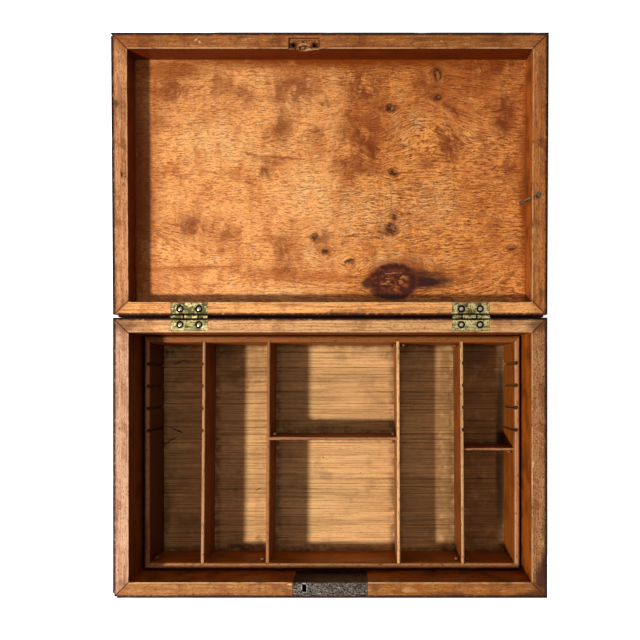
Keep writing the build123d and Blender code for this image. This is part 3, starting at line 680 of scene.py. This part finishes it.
FLOOR_STAINS = (
    (-108, -112, 32, 7, 0.9), (-129, -116, 9, 2.5, 1), (-86, -108, 8, 12, 0.6), (-112, -47, 6, 3, 0.55, 10),
    (-172, 100, 26, 2.6, 0.9, 3), (-190, 112, 14, 8, 0.7), (-150, 104, 12, 5, 0.5), (-125, 112, 24, 12, 0.5),
    (-12, -9, 1.2, 1.2, 0.9), (31, -27, 1.6, 1.4, 0.9), (-98, 70, 2, 1.6, 0.8), (167, -34, 7, 7, 0.5),
    # The long mark along the right wall is a dark band
    (192, 2, 4, 122, 0.75), (150, -104, 34, 14, 0.5), (134, -116, 8, 8, 0.6), (-52, 30, 16, 8, 0.5),
    (-10, 24, 60, 5, 0.45), (60, 108, 12, 10, 0.4), (-190, -70, 6, 40, 0.5), (-160, -90, 30, 20, 0.3),
    (80, 112, 16, 8, 0.5), (160, 100, 30, 20, 0.35), (-14, -112, 70, 5, 0.5),
)
# A pencil mark like an arrow head, a scratch, and a dark band along the right wall
FLOOR_LINES = (
    (-181, 22, 12, 0.9, 0.9, -26), (-190, 8, 18, 1, 0.95, 30), (-176, 20, 5, 1.4, 0.9, -30),
    (-86, -46, 5, 0.8, 0.8, 20), (192, 2, 8, 160, 0.9),
)
# The outer rooms and those beside the middle are darker than the middle room
DARKER_ROOMS = (
    (-164, 0, 40, 200, 0.32), (-100, 0, 42, 200, 0.22), (-85, 0, 11, 200, 0.3), (128, 0, 12, 200, 0.6),
    (170, 0, 42, 200, 0.5), (-100, 110, 44, 60, 0.5), (0, 60, 90, 60, 0.15),
)
FLOOR_GLOWS = (
    (-172, 4, 24, 4, 0.6), (-152, -5, 2.2, 2.4, 0.7), (-35, 98, 10, 8, 0.35), (20, 60, 30, 30, 0.25),
)

# The tray's rooms, in millimetres: left, right, front and back
ROOMS = (
    (-195, -140, -117, 120), (-134, -71, -117, 120), (-65, 69, 18, 120), (-65, 69, -117, 14),
    (74, 137, -117, 120), (143, 196, 6, 120), (143, 196, -117, 3),
)
DUST_AND_SHADE_REACH = 9 * MM
# Length over which good and bad years change
YEARS = 34 * MM


def pine_floor(look):
    """Unfinished pine floor of the tray: each growth ring darkens slowly, then ends sharply."""
    material, tree = start("bare_pine_tray_floor")
    flat = seen_from(tree)
    bent = ragged(flat, 80, 0.9)
    height = add(tree, "SeparateXYZ", bent).outputs["Y"]
    # Good and bad years: rings lie closer or wider in bands
    years = add(tree, "TexNoise", {"W": height, "Scale": 1 / YEARS, "Detail": 1.5}, noise_dimensions="1D")
    drift = add(tree, "Math", years, YEARS, height, operation="MULTIPLY_ADD")
    count = add(tree, "Math", drift, look.ring_pitch, operation="DIVIDE")
    within = add(tree, "Math", count, operation="FRACT")
    which = add(tree, "Math", count, operation="FLOOR")
    strength = add(tree, "TexWhiteNoise", {"W": which}, noise_dimensions="1D")
    strength = add(tree, "MapRange", {"Value": strength, "To Min": 0.3, "To Max": 1.0})
    late = add(tree, "MapRange", within, 0.68, 0.94, **SMOOTH)
    broken = threads(flat, (40, 3), 0.3, 0.6, 1.0)
    line = both(late, strength, broken)
    fine = threads(bent, (60, 1.0), 0.47, 0.62, 0.42)
    pore = threads(flat, (4, 1.0), 0.55, 0.66, 0.3)
    # Dust and painted shade gather at the foot of every wall
    uneven = ragged(flat, 12, 2.5)
    beyond = 1.0
    for left, right, front, back in ROOMS:
        middle = ((left + right) / 2, (front + back) / 2)
        one = past_outline(uneven, middle, ((right - left) / 2, (back - front) / 2))
        beyond = add(tree, "Math", beyond, one, operation="MINIMUM")
    foot = add(tree, "MapRange", beyond, -DUST_AND_SHADE_REACH, 0.0, **SMOOTH)
    foot = both(foot, clouds(flat, 9, 0.3, 0.6, 0.6))
    bands = threads(flat, (400, 26), 0.4, 0.65, 0.25, 2.0)
    # Darker rooms and patches, in the late wood colour
    worn = both(spots(flat, DARKER_ROOMS, 0.5), clouds(flat, 12, 0.2, 0.5, 1.0, 6.0))
    torn = ragged(flat, 9, 3.5)
    stain = both(spots(torn, FLOOR_STAINS, 0.9), clouds(flat, 5, 0.25, 0.6))
    dirt = clouds(flat, 24, 0.5, 0.78, 0.35)
    wipe = ragged(flat, 4, 0.7)
    colour = coats(
        tree, look.pine, (look.late, bands, fine, line, pore), (look.dirt, dirt, foot), (look.late, worn),
        (look.pine, spots(torn, FLOOR_GLOWS, 0.8)), (look.dirt, stain, spots(wipe, FLOOR_LINES, 0.6)),
    )
    end(tree, colour, 0.75, line, 0.15, 0.1)
    return material


# Mouths of the grooves for loose dividers, in millimetres: dirt and painted shade fill them
GROOVE_MOUTHS = [
    (x, y, 2.8, 2.5, 1.0)
    for x, first in ((-195.6, 96.1), (-139.4, 96.1), (141.7, 97.1), (197.0, 97.1))
    for y in (first, first - 23.7, first - 47.6, first - 71.5)
]


# How far under its top a board of the tray is rubbed
RUBBED_DOWN = (1.6 * MM, 0.3 * MM)


def tray_wood(look, node, stained, bare, outside):
    """Stained cedar of the tray, with the top edges rubbed pale on the side of the room and painted shade on the other
    side of each rounded top.
    """
    low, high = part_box(node)
    top = high.z
    long_board = high.x - low.x > high.y - low.y
    turned = 0.0 if long_board else QUARTER
    width = high.y - low.y if long_board else high.x - low.x
    material, tree = start("stained_cedar_" + node)
    place = seen_from(tree, turned=turned)
    streak = threads(place, (70, 1.4), 0.35, 0.72, 0.75)
    cloud = clouds(place, 30, 0.4, 0.72, 0.55)
    height = add(tree, "SeparateXYZ", place).outputs["Z"]
    near = add(tree, "MapRange", height, top - RUBBED_DOWN[0], top - RUBBED_DOWN[1], **SMOOTH)
    patch = threads(place, (60, 2.6), 0.2, 0.5, 0.9)
    worn = both(near, patch, facing_up(tree, 0.6, 0.9))
    # Painted shade on one side of each rounded top
    across = add(tree, "SeparateXYZ", seen_from(tree, (low + high) / 2, turned)).outputs["Y"]
    out = add(tree, "Math", across, float(outside), operation="MULTIPLY")
    painted_top_shade = add(tree, "MapRange", out, width * 0.02, width * 0.42, **SMOOTH)
    painted_top_shade = both(near, painted_top_shade, clouds(place, 12, 0.2, 0.5, 0.8))
    deeper = add(tree, "MapRange", {"Value": near, "To Min": 0.45, "To Max": 1.0})
    mouths = both(deeper, spots(seen_from(tree), GROOVE_MOUTHS, 0.25))
    speck = threads(place, (5, 1.1), 0.55, 0.66, 0.75)
    colour = coats(
        tree, linear(stained), (look.stained_dark, streak, cloud), (linear(bare), worn),
        (look.stained_dark, painted_top_shade, both(near, speck)), (look.dirt, mouths),
    )
    end(tree, colour, 0.5, streak, 0.08, 0.15)
    return material


# Each board of the tray: its stain, its bare top edge, and the side of its rounded top that is painted in shade
TRAY_BOARDS = {
    "tray_wall_front": ("#b06014", "#d2925c", -1),
    "tray_wall_back": ("#8c4512", "#905524", 1),
    # The left wall's darker stain is partly painted shade, for faces that lie in shadow
    "tray_wall_left": ("#50250d", "#b87848", 1),
    "tray_wall_right": ("#9a5014", "#c88c5c", -1),
    "tray_divider_1": ("#8c4512", "#b68356", -1),
    "tray_divider_2": ("#8c4512", "#a26b3c", -1),
    "tray_divider_3": ("#a45c22", "#f0ba80", -1),
    "tray_divider_4": ("#8c4512", "#dca870", -1),
    "tray_cross_centre": ("#8c4512", "#ae7147", 1),
    "tray_cross_right": ("#8c4512", "#c88c5c", 1),
}


def hide_glue(look):
    """Drops of hide glue, dried brown and a little clear."""
    material, tree = start("dried_hide_glue")
    mottle = clouds(seen_from(tree), 1.2, 0.4, 0.65, 0.6)
    colour = coats(tree, look.glue, (look.stained_dark, mottle))
    end(tree, colour, 0.35, mottle, 0.05, 0.4)
    return material


def rosewood(look, name, turned, polished=True):
    """French polished rosewood veneer: dark, glossy and figured along the sheet."""
    material, tree = start("rosewood_" + name)
    place = seen_from(tree, turned=turned)
    bent = ragged(place, 90, 7)
    streak = threads(bent, (180, 4), 0.4, 0.6, 0.9)
    line = threads(bent, (120, 1.4), 0.5, 0.66, 0.8)
    pore = threads(place, (7, 0.5), 0.58, 0.7, 0.8)
    rub = clouds(place, 45, 0.5, 0.8, 0.45)
    top = facing_up(tree)
    colour = coats(tree, look.ground, (look.streak, streak, line), (look.rubbed, rub), (look.streak, pore, top))
    if polished:
        rough = add(tree, "MapRange", {"Value": rub, "To Min": 0.36, "To Max": 0.55})
        end(tree, colour, rough, pore, 0.05, 0.06)
    else:
        end(tree, colour, 0.75, pore, 0.05, 0.05)
    return material


def plain_pine(look, name, turned):
    """Bare pine of the bottom and the bearers, browned with age."""
    material, tree = start("bare_pine_" + name)
    place = ragged(seen_from(tree, turned=turned), 70, 3)
    line = threads(place, (240, 3.2), 0.45, 0.68, 0.8, 2.0)
    fine = threads(place, (50, 0.9), 0.45, 0.7, 0.5)
    dirt = clouds(place, 45, 0.45, 0.8, 0.6)
    colour = coats(tree, look.pine, (look.late, fine, line), (look.dirt, dirt))
    end(tree, colour, 0.75, line, 0.15, 0.15)
    return material


# Middles of the hinge screws, in millimetres, the dirt and painted shade in the countersinks round them, and the
# painted glints on the crown of each
HINGE_SCREWS = [(x, y) for y in (134.9, 150.9) for x in (-152, -133, 133, 152)]
SCREW_RINGS = [(x, y, 4.3, 4.3, 1.0) for x, y in HINGE_SCREWS]
SCREW_GLINTS = [(x, y, 2.3, 2.3, 1.0) for x, y in HINGE_SCREWS]
# Painted shade and dirt in the seams beside a hinge's barrel and between its knuckles; both hinges are alike
SEAMS = (
    (142.5, 145.5, 27, 1.1, 1), (142.5, 140.3, 27, 1.1, 1), (133.2, 142.9, 0.9, 4, 1),
    (148, 142.9, 0.9, 4, 1),
)
# How much less film each leaf has
LEAF_SHINE = {
    "lid_hinge_leaf_left": -0.12,
    "base_hinge_leaf_left": 0.05,
    "lid_hinge_leaf_right": -0.01,
    "base_hinge_leaf_right": 0.3,
}
# Middle and half size of a hinge's two leaves together
LEAVES = (142.5, 142.9)
LEAVES_HALF = (19.0, 14.4)


def brass(look, name, shine):
    """Cast brass, tarnished to a green brown film and rubbed bright where hands reach."""
    material, tree = start("tarnished_brass_" + name)
    place = seen_from(tree)
    film = clouds(place, 5, 0.36 + shine, 0.62 + shine, 0.9)
    brushed = threads(place, (9, 0.9), 0.44, 0.6, 0.75)
    bare = clouds(place, 6, 0.5, 0.62, 0.8)
    pit = clouds(place, 1.3, 0.52, 0.62, 0.9)
    # Dirt and painted shade in the countersinks, painted shade in the seams, and a painted shadow line round the leaves
    ring = spots(place, SCREW_RINGS, 0.2)
    sides = add(tree, "VectorMath", place, operation="ABSOLUTE")
    outline = by_outline(sides, LEAVES, LEAVES_HALF, 0.8, 0.8)
    seam = spots(sides, SEAMS, 0.3)
    colour = coats(
        tree, look.brass, (look.tarnish, film, brushed), (look.bright, bare), (look.rust, pit),
        (look.grime_and_shade, outline, seam, ring),
    )
    rough = add(tree, "MapRange", {"Value": film, "To Min": 0.34, "To Max": 0.6})
    end(tree, colour, rough, pit, 0.06, metallic=1.0)
    return material


def screw_steel(look):
    """Turned steel screw heads, painted dark but for a painted glint on the crown of each."""
    material, tree = start("worn_steel_screw")
    place = seen_from(tree)
    up = facing_up(tree, 0.88, 0.97)
    film = clouds(place, 1.5, 0.42, 0.66, 0.6)
    painted_glint = spots(place, SCREW_GLINTS, 0.35)
    colour = coats(tree, look.grime_and_shade, (look.steel, both(up, painted_glint)), (look.rust, film))
    end(tree, colour, 0.3, film, 0.02, metallic=1.0)
    return material


# The lock plate over the rim, in millimetres, and the middle of its hook hole
PLATE = (0, -133.0)
PLATE_HALF = (38.1, 7.0)
HOOK_HOLE = (-26.2, -131.2)


def pitted_iron(look):
    """Wrought iron of the lock, pitted and browned by rust."""
    material, tree = start("pitted_iron")
    place = seen_from(tree)
    pit = clouds(place, 1.9, 0.5, 0.6)
    rust = clouds(place, 8, 0.42, 0.7, 0.8)
    scuff = threads(place, (7, 1.0), 0.56, 0.66, 0.6)
    outline = by_outline(place, PLATE, PLATE_HALF, 1.2, 0.8)
    hook = spot(place, HOOK_HOLE, (3.6, 6.2), 0.25, 0.75)
    colour = coats(
        tree, look.iron, (look.rust, rust), (look.steel, scuff, hook), (look.rust, pit), (look.grime_and_shade, outline)
    )
    # The upright faces are painted dark in the rust colour: painted shade
    colour = coats(tree, look.rust, (colour, facing_up(tree)))
    end(tree, colour, 0.5, pit, 0.3, metallic=0.85)
    return material


def nail_iron(look):
    """Dull grey green iron of the nails."""
    material, tree = start("dull_iron_nail")
    place = seen_from(tree)
    rust = clouds(place, 1.6, 0.42, 0.6, 0.9)
    colour = coats(tree, look.nail, (look.rust, rust))
    end(tree, colour, 0.6, rust, 0.1, metallic=0.5)
    return material


class BOX_OT_rims(bpy.types.Operator):
    """Wear and finish the frame boards of the base and the lid"""

    bl_idname = "document_box.rims"
    bl_label = "Rim boards"

    def execute(self, context):
        look = context.scene.document_box.rim
        for seed, node in enumerate(RIM_BOARDS):
            body = node.split("_")[0]
            worn_copy(node, body, rim_wood(look, node), look.wear, seed, RIM_CHIP)
        return {"FINISHED"}


class BOX_OT_panel(bpy.types.Operator):
    """Finish the figured board of the lid"""

    bl_idname = "document_box.panel"
    bl_label = "Lid panel"

    def execute(self, context):
        dress(figured_panel(context.scene.document_box.panel), "lid_board")
        return {"FINISHED"}


class BOX_OT_tray(bpy.types.Operator):
    """Finish the lift-out tray"""

    bl_idname = "document_box.tray"
    bl_label = "Tray"

    def execute(self, context):
        look = context.scene.document_box.tray
        for node, (stained, bare, outside) in TRAY_BOARDS.items():
            material = tray_wood(look, node, stained, bare, outside)
            if node == "tray_cross_right":
                worn_copy(node, "tray", material, TRAY_WEAR, seed=25, chip=TRAY_WEAR)
            else:
                dress(material, node)
        dress(pine_floor(look), "tray_floor")
        return {"FINISHED"}


class BOX_OT_veneer(bpy.types.Operator):
    """Finish the veneer, the bottom and the bearers"""

    bl_idname = "document_box.veneer"
    bl_label = "Veneer and underside"

    def execute(self, context):
        look = context.scene.document_box
        polished = rosewood(look.veneer, "long", 0.0)
        short = rosewood(look.veneer, "short", QUARTER)
        dull = rosewood(look.veneer, "unpolished", 0.0, False)
        sheets = ("front", polished, 30), ("back", dull, 30), ("left", short, 40), ("right", short, 40)
        for i, body in enumerate(("base", "lid")):
            for side, sheet, seed in sheets:
                node = f"{body}_veneer_{side}"
                worn_copy(node, body, sheet, VENEER_WEAR, seed + i, VENEER_CHIP)
        dress(polished, "lid_veneer_top")
        dress(plain_pine(look.tray, "bottom", 0.0), "base_bottom")
        dress(plain_pine(look.tray, "bearer", QUARTER), "tray_bearer_left", "tray_bearer_right")
        return {"FINISHED"}


class BOX_OT_metal(bpy.types.Operator):
    """Finish the hinges, the screws, the lock and the nails"""

    bl_idname = "document_box.metal"
    bl_label = "Metal"

    def execute(self, context):
        look = context.scene.document_box.metal
        for leaf, shine in LEAF_SHINE.items():
            old_brass = brass(look, leaf, shine)
            dress(old_brass, leaf)
        # The pins and the keyhole's rim are as old as the last leaf
        dress(old_brass, "hinge_pin_left", "hinge_pin_right", "keyhole_escutcheon")
        dress(screw_steel(look), "base_hinge_screws", "lid_hinge_screws")
        dress(pitted_iron(look), *(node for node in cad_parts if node.startswith("lock_")))
        dress(nail_iron(look), "base_bottom_nails", "tray_pins", "lid_stay_nail")
        return {"FINISHED"}


# Drops of glue on the tray, in millimetres: middle and size
GLUE_DROPS = (
    ((64.5, 115.5, 88), (4.2, 3.6, 4.5)),
    ((77.5, 116.5, 89), (3.4, 2.6, 3.9)),
    ((133, 116, 88), (5.2, 3.1, 4.5)),
    ((-61.5, 20.8, 87), (3.9, 3.4, 4.5)),
    ((66, 20.8, 88), (3.4, 3.4, 4.5)),
    ((66.5, 12.4, 87), (3.1, 2.9, 3.9)),
    ((-189.5, -113.5, 86), (6.5, 3.9, 5.2)),
    ((-75, -114.5, 86), (4.7, 3.4, 4.7)),
    ((134.5, -114, 86), (4.7, 3.9, 4.9)),
    ((145.5, -114.5, 86), (3.9, 3.4, 4.7)),
    ((192, 1.6, 85), (4.4, 2.6, 3.9)),
)
# How lumpy a drop is, and how much further it runs down than up
LUMPS = 0.25
RUN_DOWN = 1.6


class BOX_OT_glue(bpy.types.Operator):
    """Add the drops of glue that ran from the tray's joints"""

    bl_idname = "document_box.glue"
    bl_label = "Glue drops"

    def execute(self, context):
        material = hide_glue(context.scene.document_box.tray)
        for i, (middle, size) in enumerate(GLUE_DROPS):
            shape = bmesh.new()
            bmesh.ops.create_icosphere(shape, subdivisions=3, radius=0.5)
            for vert in shape.verts:
                lump = noise.noise(vert.co * 2.4 + Vector((i * 3.1, 0, 0)))
                vert.co *= 1.0 + LUMPS * lump
                vert.co.z *= 1.0 if vert.co.z > 0 else RUN_DOWN
            bmesh.ops.scale(shape, vec=Vector(size) * MM, verts=shape.verts)
            bmesh.ops.translate(shape, vec=Vector(middle) * MM, verts=shape.verts)
            for face in shape.faces:
                face.smooth = True
            piece = new_piece(shape, f"glue_drop_{i + 1}", material)
            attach(piece, "tray")
        return {"FINISHED"}


# Torn wood in the lost link plate's recess, in millimetres: middle, length and width, turn in degrees
SLIVERS = (
    ((-27.5, 418.6), (7.0, 1.7), 4),
    ((-27.0, 415.6), (5.5, 1.2), -7),
    ((-25.0, 413.2), (8.0, 1.2), 3),
    ((-38.5, 419.2), (3.4, 1.2), 12),
    ((-12.6, 419.4), (2.6, 1.4), 30),
)
SLIVER_HEIGHT = 1.1 * MM
RECESS_FLOOR = 131.9 * MM


def torn_wood(look):
    """Pale fibres of freshly torn beech."""
    material, tree = start("torn_beech_slivers")
    fibre = threads(seen_from(tree), (6, 0.6), 0.4, 0.62, 0.6)
    dirt = clouds(seen_from(tree), 2.4, 0.4, 0.58, 0.9)
    colour = coats(tree, look.kept_varnish, (look.chip, fibre), (look.fleck, dirt))
    end(tree, colour, 0.8, fibre, 0.1, 0.1)
    return material


class BOX_OT_slivers(bpy.types.Operator):
    """Add the torn slivers in the recess of the lost link plate"""

    bl_idname = "document_box.slivers"
    bl_label = "Torn slivers"

    def execute(self, context):
        material = torn_wood(context.scene.document_box.rim)
        for i, (middle, size, turned) in enumerate(SLIVERS):
            shape = bmesh.new()
            bmesh.ops.create_cube(shape, size=1.0)
            bmesh.ops.subdivide_edges(shape, edges=shape.edges[:], cuts=3, use_grid_fill=True)
            for vert in shape.verts:
                # Both ends run out to a ragged point
                taper = 1.0 - 1.5 * max(0.0, abs(vert.co.x) - 0.1) ** 1.2
                tear = noise.noise(Vector((vert.co.x * 3 + i * 5.7, vert.co.y * 2, vert.co.z)))
                vert.co.y = (vert.co.y + 0.35 * tear) * taper
                vert.co.z *= 0.75 + 0.5 * taper * (0.5 + tear)
            bmesh.ops.scale(shape, vec=(size[0] * MM, size[1] * MM, SLIVER_HEIGHT), verts=shape.verts)
            spin = Matrix.Rotation(math.radians(turned), 3, "Z")
            bmesh.ops.rotate(shape, cent=(0, 0, 0), matrix=spin, verts=shape.verts)
            seat = Vector((middle[0] * MM, middle[1] * MM, RECESS_FLOOR + SLIVER_HEIGHT * 0.35))
            bmesh.ops.translate(shape, vec=seat, verts=shape.verts)
            bmesh.ops.recalc_face_normals(shape, faces=shape.faces)
            piece = new_piece(shape, f"torn_sliver_{i + 1}", material)
            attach(piece, "lid")
        return {"FINISHED"}


class BOX_OT_stage(bpy.types.Operator):
    """Set up the floor, the lamps and the camera over the box"""

    bl_idname = "document_box.stage"
    bl_label = "Stage"

    def execute(self, context):
        look = context.scene.document_box.stage
        lay_floor()
        light_box(look)
        aim_camera(look)
        return {"FINISHED"}


def seen_directly(tree):
    """Share of rays that come from the camera, a mirror or clear glass."""
    path = add(tree, "LightPath")
    seen = path.outputs["Is Camera Ray"]
    for name in ("Is Glossy Ray", "Is Transmission Ray"):
        seen = add(tree, "Math", seen, path.outputs[name], operation="ADD", use_clamp=True)
    return seen


# The stage, in metres: the lamp and where it points, the camera, how its picture is shifted, the floor
KEY_PLACE = (-0.9, -0.33, 1.08)
KEY_TARGET = (0, 0.14, 0.1)
CAMERA_PLACE = (0.0293, 0.0767, 0.749)
CAMERA_SHIFT = (-0.061, 0.097)
FLOOR_REACH = 20.0
WHITE = (1, 1, 1, 1)


def lay_floor():
    """A plain white floor that shows as white to the camera and keeps the box's shadow."""
    material, tree = start("white_floor")
    matt = add(tree, "BsdfDiffuse", linear("#f4f4f4"))
    glow = add(tree, "Emission", WHITE, 0.8)
    lit = add(tree, "AddShader", matt, glow)
    shown = add(tree, "MixShader", seen_directly(tree), matt, lit)
    add(tree, "OutputMaterial", shown)
    shape = bmesh.new()
    bmesh.ops.create_grid(shape, x_segments=1, y_segments=1, size=FLOOR_REACH)
    floor = new_piece(shape, "floor", material)


def light_box(look):
    """A small soft key lamp from the front left, and a plain sky."""
    lamp = bpy.data.lights.new("key", "AREA")
    lamp.shape = "DISK"
    lamp.size = look.key_size
    lamp.energy = look.key_power
    key = bpy.data.objects.new("key", lamp)
    key.location = KEY_PLACE
    key.rotation_mode = "QUATERNION"
    key.rotation_quaternion = (Vector(KEY_TARGET) - key.location).to_track_quat("-Z", "Y")
    key.visible_camera = False
    bpy.context.scene.collection.objects.link(key)
    world = bpy.data.worlds.new("plain_sky")
    world.use_nodes = True
    tree = world.node_tree
    tree.nodes.clear()
    sky, white = [add(tree, "Background", WHITE, share) for share in (look.sky, 1.0)]
    shown = add(tree, "MixShader", seen_directly(tree), sky, white)
    add(tree, "OutputWorld", shown)
    bpy.context.scene.world = world


def aim_camera(look):
    """The camera looks straight down from over the hinges."""
    data = bpy.data.cameras.new("camera")
    data.lens = look.lens
    data.sensor_width = 36.0
    data.shift_x, data.shift_y = CAMERA_SHIFT
    camera = bpy.data.objects.new("camera", data)
    camera.location = CAMERA_PLACE
    bpy.context.scene.collection.objects.link(camera)
    bpy.context.scene.camera = camera
    bpy.context.scene.view_settings.view_transform = "Standard"


class BOX_PT_finish(bpy.types.Panel):
    """Lists the finishes of the document box"""

    bl_idname = "BOX_PT_finish"
    bl_label = "Document box"
    bl_space_type = "VIEW_3D"
    bl_region_type = "UI"
    bl_category = "Document box"

    def draw(self, context):
        for step in STEPS:
            self.layout.operator(step.bl_idname)


STEPS = (BOX_OT_rims, BOX_OT_panel, BOX_OT_tray, BOX_OT_veneer, BOX_OT_metal, BOX_OT_glue, BOX_OT_slivers, BOX_OT_stage)
CLASSES = (RimLook, PanelLook, TrayLook, VeneerLook, MetalLook, StageLook, BoxLook, *STEPS, BOX_PT_finish)


def register():
    for one in CLASSES:
        bpy.utils.register_class(one)
    bpy.types.Scene.document_box = PointerProperty(type=BoxLook)


def unregister():
    del bpy.types.Scene.document_box
    for one in reversed(CLASSES):
        bpy.utils.unregister_class(one)


def main():
    register()
    for step in STEPS:
        group, name = step.bl_idname.split(".")
        getattr(getattr(bpy.ops, group), name)()


if __name__ == "__main__":
    main()
